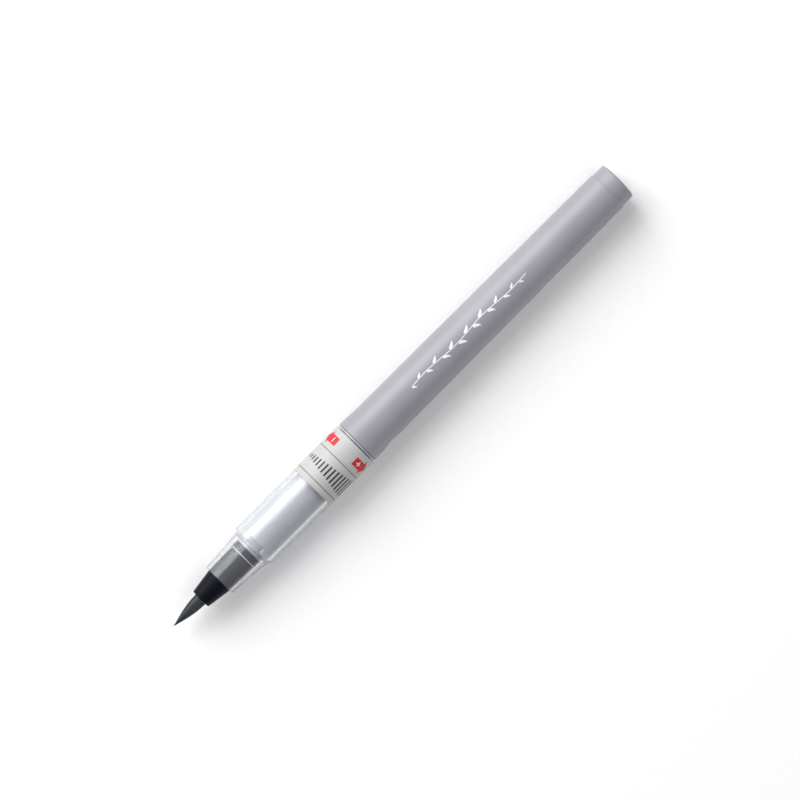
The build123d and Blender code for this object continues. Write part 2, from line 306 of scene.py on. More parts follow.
def see_through(name, tint, scatter, roughness, index, shadow_tint, **plain):
    """A transparent plastic that lets lamp light through to what is behind it."""
    material, tree, shader = new_material(name)
    grain = use_group(tree, MOULD_GRAIN, Grain_Scale=2500.0, Flow_Scale=90.0)
    handled = use_group(tree, HANDLING, Smudge_Scale=220.0)
    shade = blend_colours(tree, grain.outputs["Flow"], tint, tuple(0.97 * part for part in tint[:3]) + (1.0,))
    tree.links.new(shade, shader.inputs["Base Color"])
    rough = math(tree, "MULTIPLY_ADD", handled.outputs["Smudge"], 0.03, roughness)
    rough = math(tree, "MULTIPLY_ADD", handled.outputs["Scratch"], 0.03, rough)
    tree.links.new(rough, shader.inputs["Roughness"])
    height = math(tree, "MULTIPLY_ADD", grain.outputs["Flow"], 2.0, math(tree, "MULTIPLY", grain.outputs["Grain"], 0.1))
    bump = add(tree, "ShaderNodeBump", {"Height": height, "Strength": 0.3, "Distance": 0.000004})
    tree.links.new(bump.outputs[0], shader.inputs["Normal"])
    set_plain(shader, Transmission_Weight=1.0 - scatter, IOR=index, **plain)
    clear = add(tree, "ShaderNodeBsdfTransparent", {"Color": shadow_tint})
    path = add(tree, "ShaderNodeLightPath")
    values = {0: path.outputs["Is Shadow Ray"], 1: shader.outputs[0], 2: clear.outputs[0]}
    mix = add(tree, "ShaderNodeMixShader", values)
    tree.links.new(mix.outputs[0], tree.nodes["Material Output"].inputs["Surface"])
    return material


clear_plastic = see_through("clear_plastic", colour(0.8, 0.81, 0.84), 0.05, 0.05, 1.46, colour(0.88, 0.885, 0.9))
frosted_plastic = see_through(
    "frosted_plastic",
    colour(0.7, 0.705, 0.71),
    0.7,
    0.4,
    1.4,
    colour(0.6, 0.61, 0.62),
    Subsurface_Weight=1.0,
    Subsurface_Radius=(1.0, 1.0, 1.0),
    Subsurface_Scale=0.005,
    Specular_IOR_Level=0.2,
)
film_plastic = see_through("film_plastic", colour(0.95, 0.96, 0.97), 0.15, 0.2, 1.45, colour(0.85, 0.86, 0.87))

# %% [markdown]
# ## Fibre, steel and the printed film
# The wick and the reservoir are bundles of fibre soaked in black ink: streaks along the pen, rough, nearly black. The
# drive pins are ground steel, with fine marks round them. The label is a film with a silver-grey print, whose fine
# flake makes the tone sparkle slightly.

# %% Fibre, steel and film


def streaked(name, dark, light, roughness, stretch, scale, height_m, **plain):
    """A material with streaks: stretch is how much the pattern is drawn out along X, Y and Z."""
    material, tree, shader = new_material(name)
    place = add(tree, "ShaderNodeTexCoord").outputs["Object"]
    drawn = add(tree, "ShaderNodeMapping", {"Vector": place, "Scale": stretch}).outputs[0]
    streak = add(tree, "ShaderNodeTexNoise", {"Vector": drawn, "Scale": scale, "Detail": 3.0}).outputs["Fac"]
    tone = spread(tree, streak, 0.3, 0.7, 0.0, 1.0)
    tree.links.new(blend_colours(tree, tone, dark, light), shader.inputs["Base Color"])
    tree.links.new(math(tree, "MULTIPLY_ADD", tone, 0.12, roughness), shader.inputs["Roughness"])
    bump = add(tree, "ShaderNodeBump", {"Height": tone, "Strength": 0.6, "Distance": height_m})
    tree.links.new(bump.outputs[0], shader.inputs["Normal"])
    set_plain(shader, **plain)
    return material


inked_fibre = streaked(
    "inked_fibre", colour(0.01, 0.01, 0.014), colour(0.05, 0.05, 0.065), 0.75, (0.04, 1, 1), 6000.0, 0.00002
)
pin_steel = streaked(
    "pin_steel", colour(0.42, 0.42, 0.44), colour(0.6, 0.6, 0.62), 0.22, (1, 1, 0.05), 9000.0, 0.000002, Metallic=1.0
)
wet_core = streaked(
    "wet_core", colour(0.006, 0.008, 0.01), colour(0.03, 0.038, 0.042), 0.3, (0.05, 1, 1), 9000.0, 0.00002, IOR=1.45
)
label_silver = streaked(
    "label_silver", colour(0.42, 0.412, 0.408), colour(0.48, 0.472, 0.468), 0.45, (1, 1, 1), 14000.0, 0.000002
)

FINISH = {
    "brush_tuft": wet_core,
    "ferrule": black_gloss,
    "ferrule_collar": black_gloss,
    "ferrule_carrier": pale_plastic,
    "drive_nut": black_gloss,
    "drive_pins": pin_steel,
    "wiper_seal": seal_rubber,
    "grip_sleeve": clear_plastic,
    "grip_label": label_silver,
    "guide_sleeve": frosted_plastic,
    "friction_ring": seal_rubber,
    "thrust_washer": washer_white,
    "brush_holder": pale_plastic,
    "feed_tube": pale_plastic,
    "feed_bulkhead": pale_plastic,
    "relay_wick": inked_fibre,
    "ink_reservoir": inked_fibre,
    "reservoir_film": film_plastic,
    "barrel_tube": barrel_grey,
    "tail_plug": barrel_grey,
}
for node_name, finish in FINISH.items():
    slots = nodes[node_name].data.materials
    slots.clear()
    slots.append(finish)
print("finished", len(FINISH), "CAD nodes")

# %% [markdown]
# ## The bristles
# A brush tip is over a thousand tapered nylon hairs, melted together at their roots. They lie side by side, gather
# into a few wet clumps with grooves between them, and come together in the point. Every hair follows the same rule,
# so this is work for Geometry Nodes: one point for each hair, a short line on each point, and then each line is bent
# to the outline of the tuft. The outline itself is measured on the CAD tuft, so the hairs keep to its size. The CAD
# tuft stays under them as the dark wet core.

# %% Measure the tuft's outline
ROOT_STATION = ends("ferrule")[0] + 1.4
TUFT_SAMPLES = 9


def radius_of(node, station):
    """The outer radius of a round CAD node at a station, in metres, from a ray towards the axis."""
    mesh = nodes[node].data
    tree = BVHTree.FromPolygons([v.co for v in mesh.vertices], [p.vertices for p in mesh.polygons])
    start = Vector((x_at(station), 0.02, AXIS_Z))
    hit = tree.ray_cast(start, Vector((0, -1, 0)))[0]
    return abs(hit.y)


tuft_outline = []
for step in range(TUFT_SAMPLES + 1):
    share = step / TUFT_SAMPLES
    tuft_outline.append((share, radius_of("brush_tuft", max(0.05, share * ROOT_STATION)) / MM))
TUFT_RADIUS = max(radius for _, radius in tuft_outline)
print("tuft radius along the tip, mm:", [round(radius, 2) for _, radius in tuft_outline])

# %% The geometry tree that grows the bristles


def bristle_tree(material):
    """Hairs from the root station to the point, bent to the outline of the tuft."""
    tree = bpy.data.node_groups.new("grow_bristles", "GeometryNodeTree")
    numbers = {
        "Hairs": ("NodeSocketInt", 1500),
        "Seed": ("NodeSocketInt", 7),
        "Root X": ("NodeSocketFloat", 0.0),
        "Point X": ("NodeSocketFloat", 0.0),
        "Axis Z": ("NodeSocketFloat", 0.0),
        "Radius": ("NodeSocketFloat", 0.0018),
        "Hair Radius": ("NodeSocketFloat", 0.00004),
        "Clumps": ("NodeSocketFloat", 9.0),
        "Groove": ("NodeSocketFloat", 0.1),
        "Shortest": ("NodeSocketFloat", 0.35),
    }
    for name, (kind, default) in numbers.items():
        socket = tree.interface.new_socket(name, in_out="INPUT", socket_type=kind)
        socket.default_value = default
    tree.interface.new_socket("Geometry", in_out="OUTPUT", socket_type="NodeSocketGeometry")
    given = tree.nodes.new("NodeGroupInput").outputs
    result = tree.nodes.new("NodeGroupOutput")

    def draw(low, high, offset):
        """A random number for each hair."""
        index = add(tree, "GeometryNodeInputIndex").outputs[0]
        seed = math(tree, "ADD", given["Seed"], float(offset))
        values = {2: low, 3: high, "ID": index, "Seed": seed}
        return add(tree, "FunctionNodeRandomValue", values, data_type="FLOAT").outputs[1]

    def keep(geometry, name, value):
        """Writes a number on each point, so the hair that grows there can read it."""
        values = {"Geometry": geometry, "Name": name, "Value": value}
        return add(tree, "GeometryNodeStoreNamedAttribute", values, data_type="FLOAT", domain="POINT").outputs[0]

    def read(name):
        """Reads such a number back."""
        return add(tree, "GeometryNodeInputNamedAttribute", {"Name": name}, data_type="FLOAT").outputs[0]

    points = add(tree, "GeometryNodePoints", {"Count": given["Hairs"]}).outputs[0]
    golden = pi * (3 - sqrt(5))
    index = add(tree, "GeometryNodeInputIndex").outputs[0]
    points = keep(points, "turn", math(tree, "MULTIPLY", index, golden))
    points = keep(points, "depth", draw(0.9, 1.0, 1))
    points = keep(points, "reach", math(tree, "POWER", draw(0.0, 1.0, 2), 2.2))
    points = keep(points, "tone", draw(0.0, 1.0, 3))
    points = keep(points, "lean", draw(-1.0, 1.0, 4))

    line = add(tree, "GeometryNodeCurvePrimitiveLine", {"Start": (0, 0, 0), "End": (1, 0, 0)}).outputs[0]
    line = add(tree, "GeometryNodeResampleCurve", {"Curve": line, "Count": 16}).outputs[0]
    hairs = add(tree, "GeometryNodeInstanceOnPoints", {"Points": points, "Instance": line}).outputs[0]
    hairs = add(tree, "GeometryNodeRealizeInstances", {"Geometry": hairs}).outputs[0]

    along = add(tree, "GeometryNodeSplineParameter").outputs["Factor"]
    hairs = keep(hairs, "along", along)
    reach_end = math(tree, "MULTIPLY_ADD", read("reach"), math(tree, "MULTIPLY", given["Shortest"], -1.0), 1.0)
    travel = math(tree, "MULTIPLY", along, reach_end)
    place = math(tree, "SUBTRACT", 1.0, travel)

    outline = add(tree, "ShaderNodeFloatCurve", {"Value": place})
    curve = outline.mapping.curves[0]
    curve.points[0].location = (0.0, tuft_outline[0][1] / TUFT_RADIUS)
    curve.points[1].location = (1.0, tuft_outline[-1][1] / TUFT_RADIUS)
    for share, radius in tuft_outline[1:-1]:
        curve.points.new(share, radius / TUFT_RADIUS)
    outline.mapping.update()

    cycle = math(tree, "DIVIDE", math(tree, "MULTIPLY", read("turn"), given["Clumps"]), tau)
    within = math(tree, "SUBTRACT", math(tree, "FRACT", cycle), 0.5)
    squeeze = math(tree, "MULTIPLY", math(tree, "POWER", travel, 1.5), 0.45)
    pulled = math(tree, "MULTIPLY", within, squeeze)
    clump_angle = math(tree, "DIVIDE", tau, given["Clumps"])
    wander = math(tree, "MULTIPLY", read("lean"), math(tree, "MULTIPLY", travel, 0.22))
    turn = math(tree, "SUBTRACT", read("turn"), math(tree, "MULTIPLY", pulled, clump_angle))
    turn = math(tree, "ADD", turn, wander)
    valley = math(tree, "POWER", math(tree, "MULTIPLY", math(tree, "ABSOLUTE", within), 2.0), 4.0)
    dip = math(tree, "MULTIPLY", valley, given["Groove"])
    dip = math(tree, "SUBTRACT", 1.0, dip)
    radius = math(tree, "MULTIPLY", outline.outputs[0], given["Radius"])
    radius = math(tree, "MULTIPLY", radius, math(tree, "MULTIPLY", read("depth"), dip))

    span = math(tree, "SUBTRACT", given["Point X"], given["Root X"])
    x = math(tree, "MULTIPLY_ADD", travel, span, given["Root X"])
    y = math(tree, "MULTIPLY", radius, math(tree, "SINE", turn))
    z = math(tree, "MULTIPLY_ADD", radius, math(tree, "COSINE", turn), given["Axis Z"])
    position = add(tree, "ShaderNodeCombineXYZ", {0: x, 1: y, 2: z}).outputs[0]
    hairs = add(tree, "GeometryNodeSetPosition", {"Geometry": hairs, "Position": position}).outputs[0]

    taper = math(tree, "SUBTRACT", 1.0, math(tree, "MULTIPLY", math(tree, "POWER", along, 3.0), 0.75))
    thickness = math(tree, "MULTIPLY", taper, given["Hair Radius"])
    hairs = add(tree, "GeometryNodeSetCurveRadius", {"Curve": hairs, "Radius": thickness}).outputs[0]
    section = add(tree, "GeometryNodeCurvePrimitiveCircle", {"Resolution": 4, "Radius": 1.0}).outputs[0]
    sweep = add(tree, "GeometryNodeCurveToMesh", {"Curve": hairs, "Profile Curve": section, "Fill Caps": True})
    if "Scale" in sweep.inputs:
        tree.links.new(add(tree, "GeometryNodeInputRadius").outputs[0], sweep.inputs["Scale"])
    mesh = add(tree, "GeometryNodeSetShadeSmooth", {0: sweep.outputs[0]}).outputs[0]
    mesh = add(tree, "GeometryNodeRealizeInstances", {"Geometry": mesh}).outputs[0]
    mesh = add(tree, "GeometryNodeSetMaterial", {"Geometry": mesh, "Material": material}).outputs[0]
    tree.links.new(mesh, result.inputs[0])
    return tree


# %% [markdown]
# The hairs have their own material. Each hair carries two numbers that the tree wrote on it: how far along it a point
# is, and its own tone. The hairs are smoke grey with a cast of teal, a little paler and warmer at the point, where the
# tuft is so thin that light comes through it.

# %% The material of the bristles


def build_bristle_material():
    """Teal-grey hairs whose tone differs from hair to hair and gets warmer at the point."""
    material, tree, shader = new_material("bristle_hair")
    tone = add(tree, "ShaderNodeAttribute", attribute_name="tone").outputs["Fac"]
    along = add(tree, "ShaderNodeAttribute", attribute_name="along").outputs["Fac"]
    hair = blend_colours(tree, tone, colour(0.002, 0.003, 0.004), colour(0.05, 0.066, 0.072))
    warm = spread(tree, along, 0.86, 1.0, 0.0, 0.7)
    hair = blend_colours(tree, warm, hair, colour(0.14, 0.135, 0.11))
    tree.links.new(hair, shader.inputs["Base Color"])
    place = add(tree, "ShaderNodeTexCoord").outputs["Object"]
    wet = add(tree, "ShaderNodeTexNoise", {"Vector": place, "Scale": 1200.0, "Detail": 2.0}).outputs["Fac"]
    tree.links.new(spread(tree, wet, 0.35, 0.65, 0.3, 0.5), shader.inputs["Roughness"])
    set_plain(shader, IOR=1.5, Specular_IOR_Level=0.3)
    return material


bristle_hair = build_bristle_material()

# %% Grow the bristles


def grown_mesh(name, tree, values):
    """Runs a geometry tree with these input values and returns the result as a plain mesh object."""
    holder = bpy.data.objects.new(name, bpy.data.meshes.new(name))
    bpy.context.scene.collection.objects.link(holder)
    modifier = holder.modifiers.new("grow", "NODES")
    modifier.node_group = tree
    for item in tree.interface.items_tree:
        if item.in_out == "INPUT" and item.name in values:
            modifier[item.identifier] = values[item.name]
    holder.update_tag()
    bpy.context.view_layer.update()
    evaluated = holder.evaluated_get(bpy.context.evaluated_depsgraph_get())
    mesh = bpy.data.meshes.new_from_object(evaluated)
    holder.modifiers.remove(modifier)
    holder.data = mesh
    mesh.name = name
    return holder


bristles = grown_mesh(
    "bristles",
    bristle_tree(bristle_hair),
    {
        "Root X": x_at(ROOT_STATION),
        "Point X": x_at(0.12),
        "Axis Z": AXIS_Z,
        "Radius": TUFT_RADIUS * MM,
    },
)
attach(bristles, "barrel")
print("bristles:", len(bristles.data.polygons), "faces")

# %% [markdown]
# ## The clear grip, turned finely
# Clear plastic shows every flaw: the flat facets of a coarse ring bend the light at each edge, and the grip's crisp
# wall lines turn ragged. So the grip is turned again at the same size, as one closed profile in two hundred narrow
# steps. Its edges get the small roundings that a real mould leaves, because those catch the light. Its bore keeps
# everything that the mechanism needs: the lip with its three notches, the snap groove, and the two grooves, with
# their entry channels, that the drive pins run in.

# %% Turn the grip
GRIP_FRONT, GRIP_REAR = ends("grip_sleeve")
GRIP_RADIUS = half_height("grip_sleeve")
SHARP_EDGE = radians(35)
GRIP_STEPS = 200
SHOULDER = 29.5
NOSE_FRONT_RADIUS, NOSE_REAR_RADIUS = 4.75, 5.75
LIP_BORE, LIP_REAR = 3.92, 21.5
NOSE_BORE, NOSE_BORE_REAR = 4.15, 28.7
GRIP_BORE = 5.2
NOTCHES, NOTCH_FIRST, NOTCH_WIDTH, NOTCH_DEPTH = 3, -14, 43, 0.35
SNAP_STATION, SNAP_HALF, SNAP_RADIUS = 65.7, 0.5, 5.48
PIN_STATION, PIN_LEAD, PIN_REACH, PIN_GROOVE_HALF, PIN_GROOVE_RADIUS = 58.0, 6.0, 130, 0.95, 5.8
ENTRY_ANGLE, ENTRY_HALF, ENTRY_FRONT = -120, 10, 59.2
GROOVE_ZONE = 54.0
GROOVE_ROWS = 74
RING_GAP = 0.05


def round_point(station, radius, angle):
    """A point on the pen in metres. Radius is in millimetres, and the angle starts at the top, towards +Y."""
    return Vector((x_at(station), radius * MM * sin(angle), AXIS_Z + radius * MM * cos(angle)))


def mesh_object(name, points, faces, material, smooth=True):
    """A mesh object from points and faces, with its normals outward."""
    mesh = bpy.data.meshes.new(name)
    mesh.from_pydata([tuple(p) for p in points], [], faces)
    work = bmesh.new()
    work.from_mesh(mesh)
    bmesh.ops.remove_doubles(work, verts=work.verts, dist=1e-8)
    bmesh.ops.recalc_face_normals(work, faces=work.faces)
    work.to_mesh(mesh)
    work.free()
    for polygon in mesh.polygons:
        polygon.use_smooth = smooth
    mesh.set_sharp_from_angle(angle=SHARP_EDGE)
    mesh.materials.append(material)
    made = bpy.data.objects.new(name, mesh)
    bpy.context.scene.collection.objects.link(made)
    return made


def rounded_profile(corners):
    """A line through (station, radius, rounding) corners, with each corner turned into a small arc."""
    line = []
    count = len(corners)
    for number, (station, radius, rounding) in enumerate(corners):
        here = Vector((station, radius))
        if not rounding:
            line.append((station, radius))
            continue
        before = Vector(corners[number - 1][:2]) - here
        after = Vector(corners[(number + 1) % count][:2]) - here
        start = here + before.normalized() * rounding
        end = here + after.normalized() * rounding
        for step in range(5):
            share = step / 4
            spot = start * (1 - share) ** 2 + here * 2 * share * (1 - share) + end * share**2
            line.append((spot.x, spot.y))
    return line


def off_angle(angle, middle):
    """How many degrees an angle lies from the middle of a feature, between -180 and 180."""
    return (angle - middle + 180) % 360 - 180


def in_pin_path(station, angle):
    """Whether a spot on the bore lies in one of the two grooves that the drive pins run in, or in its entry."""
    for first in (0, 180):
        off = off_angle(angle, first)
        along = station - PIN_STATION + PIN_LEAD * off / 360
        if abs(off) <= PIN_REACH and abs(along) <= PIN_GROOVE_HALF:
            return True
        if abs(off_angle(angle, first + ENTRY_ANGLE)) <= ENTRY_HALF and station >= ENTRY_FRONT:
            return True
    return False


def grip_ring(station, radius, kind):
    """One ring of the grip's surface. Bore rings open into the grooves, and lip rings step back in the notches."""
    ring = []
    for step in range(GRIP_STEPS):
        degrees_round = 360 * step / GRIP_STEPS
        here, out = station, radius
        if kind == "bore" and in_pin_path(station, degrees_round):
            out = PIN_GROOVE_RADIUS
        if kind == "lip":
            for notch in range(NOTCHES):
                middle = NOTCH_FIRST + notch * 360 / NOTCHES
                if abs(off_angle(degrees_round, middle)) <= NOTCH_WIDTH / 2:
                    here = station + NOTCH_DEPTH
        ring.append(round_point(here, out, -radians(degrees_round)))
    return ring


def turn_grip():
    """The grip as one closed surface: outside from rear to front, lip, then the bore from front to rear."""
    outside = rounded_profile(
        [
            (GRIP_REAR, GRIP_RADIUS, 0.1),
            (SHOULDER, GRIP_RADIUS, 0.4),
            (SHOULDER, NOSE_REAR_RADIUS, 0.12),
            (GRIP_FRONT, NOSE_FRONT_RADIUS, 0.12),
            (GRIP_FRONT, LIP_BORE + 0.42, 0),
        ]
    )
    bore = rounded_profile(
        [
            (GRIP_FRONT + 0.5, LIP_BORE, 0),
            (LIP_REAR, LIP_BORE, 0.06),
            (LIP_REAR, NOSE_BORE, 0.06),
            (NOSE_BORE_REAR, NOSE_BORE, 0.1),
            (NOSE_BORE_REAR, GRIP_BORE, 0.1),
            (GROOVE_ZONE, GRIP_BORE, 0),
        ]
    )
    rings = [grip_ring(station, radius, "plain") for station, radius in outside]
    rings += [grip_ring(GRIP_FRONT, radius, "lip") for radius in (LIP_BORE + 0.4, LIP_BORE)]
    rings += [grip_ring(station, radius, "plain") for station, radius in bore]
    snap_front, snap_rear = SNAP_STATION - SNAP_HALF, SNAP_STATION + SNAP_HALF
    zone_front, zone_rear = GROOVE_ZONE + RING_GAP, snap_front - RING_GAP
    for row in range(GROOVE_ROWS):
        station = zone_front + (zone_rear - zone_front) * row / (GROOVE_ROWS - 1)
        rings.append(grip_ring(station, GRIP_BORE, "bore"))
    for station, radius in ((snap_front, SNAP_RADIUS), (snap_rear, SNAP_RADIUS), (snap_rear + 0.02, GRIP_BORE)):
        rings.append(grip_ring(station, radius, "bore"))
    rings.append(grip_ring(GRIP_REAR - 0.1, GRIP_BORE, "bore"))
    rings.append(grip_ring(GRIP_REAR, GRIP_BORE + 0.08, "bore"))
    points = [point for ring in rings for point in ring]
    faces = []
    for number in range(len(rings)):
        following = (number + 1) % len(rings)
        for step in range(GRIP_STEPS):
            ahead = (step + 1) % GRIP_STEPS
            a, b = number * GRIP_STEPS, following * GRIP_STEPS
            faces.append((a + step, a + ahead, b + ahead, b + step))
    return mesh_object("grip_shell", points, faces, clear_plastic)


grip_shell = turn_grip()
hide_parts("grip_sleeve")
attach(grip_shell, "grip")
print("grip shell:", len(grip_shell.data.polygons), "faces")

# %% [markdown]
# ## The printed film
# The label is a thin film wrapped round the clear grip. The CAD node is a coarse ring, so a finer one takes its
# place: the film ends in a lap on the underside, where one end lies on the other, and its edges are slightly raised.
# It is a closed strip, built as a loop of cross-sections round the pen.

# %% Wrap the film
LABEL_FRONT, LABEL_REAR = ends("grip_label")
FILM_RADIUS = half_height("grip_label") - 0.012
FILM_THICKNESS = 0.07
FILM_EDGE = 0.04
LAP_ANGLE = radians(14)
LAP_START = radians(180)
LAP_RAMP = 0.08
LAP_RISE = 0.006
LAP_LIFT = 0.02


def wrap_film():
    """The film's strip: from the lap's lower end, once round the pen, to the end that lies on top."""
    steps = 240
    points, faces = [], []
    for step in range(steps + 1):
        share = step / steps
        angle = LAP_START + share * (tau + LAP_ANGLE)
        over = min(1.0, max(0.0, (share * (tau + LAP_ANGLE) - tau + LAP_RAMP) / LAP_RAMP))
        rise = LAP_RISE * over - LAP_RISE * (1 - over)
        outer = FILM_RADIUS + rise
        inner = FILM_RADIUS - FILM_THICKNESS + LAP_LIFT * over
        section = (
            (LABEL_FRONT + FILM_EDGE, outer),
            (LABEL_REAR - FILM_EDGE, outer),
            (LABEL_REAR, (outer + inner) / 2),
            (LABEL_REAR - FILM_EDGE, inner),
            (LABEL_FRONT + FILM_EDGE, inner),
            (LABEL_FRONT, (outer + inner) / 2),
        )
        points += [round_point(station, radius, angle) for station, radius in section]
    ring = len(section)
    for step in range(steps):
        for corner in range(ring):
            a = step * ring + corner
            b = step * ring + (corner + 1) % ring
            faces.append((a, b, b + ring, a + ring))
    faces.append(tuple(range(ring)))
    faces.append(tuple(range(steps * ring, steps * ring + ring)))
    return mesh_object("label_film", points, faces, label_silver)


label_film = wrap_film()
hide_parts("grip_label")
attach(label_film, "grip")
print("label film:", len(label_film.data.polygons), "faces")

# %% [markdown]
# ## Printing, as strips and leaves
# The pen is printed on its barrel and on its film. Here that is plain ornament and signs, with no lettering: a leafy
# sprig on the barrel, and a scale of ticks and two arrows on the film. A stroke is built flat, with a domed top, on a
# grid of a few rows. A rule that turns (station, distance round the pen) into a point on the surface then wraps it
# onto the pen. A leaf is a stroke that swells and thins along its length. A print piece is many strokes in one mesh.

# %% Build one stroke, and wrap it


class Print:
    """Collects flat strokes and wraps them onto a round surface as one closed mesh."""

    def __init__(self, surface, height):
        self.surface = surface
        self.height = height
        self.points = []
        self.faces = []

    def strip(self, centres, widths, rows=4):
        """A stroke along a line of (station, round) centres, with a half width at each."""
        first = len(self.points)
        count = len(centres)
        for number, ((station, around), width) in enumerate(zip(centres, widths)):
            before = centres[max(0, number - 1)]
            after = centres[min(count - 1, number + 1)]
            run = Vector((after[0] - before[0], after[1] - before[1])).normalized()
            side = Vector((-run.y, run.x))
            for row in range(rows + 1):
                across = 2 * row / rows - 1
                lift = self.height * (1 - across * across)
                spot = Vector((station, around)) + side * across * width
                self.points.append(self.surface(spot.x, spot.y, lift))
            for row in range(rows, -1, -1):
                across = 2 * row / rows - 1
                spot = Vector((station, around)) + side * across * width
                self.points.append(self.surface(spot.x, spot.y, -self.height))
        ring = 2 * (rows + 1)
        for number in range(count - 1):
            for corner in range(ring):
                a = first + number * ring + corner
                b = first + number * ring + (corner + 1) % ring
                self.faces.append((a, b, b + ring, a + ring))
        last = first + (count - 1) * ring
        self.faces.append(tuple(range(first, first + ring)))
        self.faces.append(tuple(range(last, last + ring)))

    def leaf(self, start, end, width, bend=0.0, taper=0.35):
        """A leaf-shaped stroke. Bend pushes its middle sideways, taper says how blunt its start is."""
        steps = max(6, ceil(hypot(end[0] - start[0], end[1] - start[1]) / 0.12))
        run = Vector((end[0] - start[0], end[1] - start[1]))
        side = Vector((-run.y, run.x)).normalized()
        centres, widths = [], []
        for step in range(steps + 1):
            share = step / steps
            spot = Vector(start) + run * share + side * bend * sin(pi * share)
            centres.append((spot.x, spot.y))
            swell = sin(pi * min(1.0, (share + taper) / (1 + taper)))
            widths.append(max(0.015, width / 2 * swell))
        self.strip(centres, widths)

    def make(self, name, material, body):
        """The finished piece."""
        piece = mesh_object(name, self.points, self.faces, material)
        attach(piece, body)
        print(f"{name}: {len(piece.data.polygons)} faces")
        return piece


# %% Surfaces to print on
BARREL_MESH = nodes["barrel_tube"].data
BARREL_TREE = BVHTree.FromPolygons([v.co for v in BARREL_MESH.vertices], [p.vertices for p in BARREL_MESH.polygons])


BARREL_RADIUS = half_height("barrel_tube")


def on_barrel(station, around, lift):
    """A point on the barrel, measured with a ray towards the axis. Around and lift are in millimetres."""
    angle = around / BARREL_RADIUS
    outward = Vector((0, sin(angle), cos(angle)))
    start = Vector((x_at(station), 0, AXIS_Z)) + outward * 0.01
    hit = BARREL_TREE.ray_cast(start, -outward)[0]
    return hit + outward * lift * MM


def on_film(station, around, lift):
    """A point on the label film, in the same measures."""
    return round_point(station, FILM_RADIUS + lift, around / FILM_RADIUS)


# %% [markdown]
# ## The inks
# The barrel's printing is thick white ink, slightly raised and a little uneven. The film's is thin black and red.

# %% Ink materials


def ink(name, dark, light, roughness):
    """Printed ink with a slightly uneven lay-down."""
    material, tree, shader = new_material(name)
    place = add(tree, "ShaderNodeTexCoord").outputs["Object"]
    lay = add(tree, "ShaderNodeTexNoise", {"Vector": place, "Scale": 7000.0, "Detail": 4.0}).outputs["Fac"]
    tone = spread(tree, lay, 0.35, 0.6, 0.0, 1.0)
    tree.links.new(blend_colours(tree, tone, dark, light), shader.inputs["Base Color"])
    tree.links.new(math(tree, "MULTIPLY_ADD", tone, 0.1, roughness), shader.inputs["Roughness"])
    bump = add(tree, "ShaderNodeBump", {"Height": tone, "Strength": 0.4, "Distance": 0.000006})
    tree.links.new(bump.outputs[0], shader.inputs["Normal"])
    return material


white_ink = ink("white_ink", colour(0.7, 0.7, 0.72), colour(0.86, 0.86, 0.87), 0.4)
black_ink = ink("black_ink", colour(0.012, 0.012, 0.013), colour(0.03, 0.03, 0.03), 0.42)
red_ink = ink("red_ink", colour(0.47, 0.008, 0.016), colour(0.56, 0.014, 0.024), 0.5)

# %% [markdown]
# ## The barrel's sprig
# A white sprig runs along the barrel: a thin wavy stem, with one leaf after another on alternate sides of it. The
# pitch is even from end to end, and the leaves are smaller towards both ends. Each leaf starts a little off the stem,
# so that no two strokes of ink lie on top of each other.

# %% Print the barrel
SPRIG_FRONT = 88.0
SPRIG_REAR = 130.0
SPRIG_WAVES = 2
LEAF_PITCH = 2.8
LEAF_LENGTH = 2.5
LEAF_WIDTH = 0.85
LEAF_GAP = 0.3
STEM_WIDTH = 0.11
STEM_SWAY = 0.35
INK_HEIGHT = 0.03


def stem_at(station):
    """How far round the pen the stem is at a station."""
    share = (station - SPRIG_FRONT) / (SPRIG_REAR - SPRIG_FRONT)
    return STEM_SWAY * sin(tau * SPRIG_WAVES * share)


def print_sprig():
    """The stem and its leaves."""
    sprig = Print(on_barrel, INK_HEIGHT)
    steps = 120
    stem = [SPRIG_FRONT + (SPRIG_REAR - SPRIG_FRONT) * step / steps for step in range(steps + 1)]
    sprig.strip([(station, stem_at(station)) for station in stem], [STEM_WIDTH] * len(stem))
    leaves = int((SPRIG_REAR - SPRIG_FRONT) / LEAF_PITCH)
    for number in range(leaves):
        share = (number + 0.5) / leaves
        size = 0.5 + 0.5 * sin(pi * share)
        side = 1 if number % 2 else -1
        station = SPRIG_FRONT + LEAF_PITCH * number
        base = stem_at(station) + side * LEAF_GAP
        point = (station + 0.8 * size * LEAF_LENGTH, base + 0.6 * side * size * LEAF_LENGTH)
        sprig.leaf((station, base), point, LEAF_WIDTH * size, bend=-0.25 * side * size)
    print(leaves, "leaves on the sprig")
    return sprig.make("barrel_print", white_ink, "barrel")


barrel_print = print_sprig()

# %% [markdown]
# ## The film's printing
# The grip turns both ways, and the film says so with signs only. A row of black ticks goes round the pen between two
# thin rules, and the ticks grow from short to long. Beside it, two red arrows point opposite ways round the pen. The
# minus, at the short ticks, is the way that brings the ferrule forward and leaves less of the brush free, which makes
# it firmer. The plus, at the long ticks, is the way that draws the ferrule back and leaves more of it free.

# %% Print the scale of ticks
SCALE_MIDDLE = 57.0
SCALE_HALF_SPAN = 8.4
TICKS = 15
SHORT_TICK = 0.9
LONG_TICK = 5.6
TICK_WIDTH = 0.25
RULE_STATIONS = (53.0, 61.0)
RULE_HALF_SPAN = 9.4
RULE_WIDTH = 0.09
FILM_INK_HEIGHT = 0.008


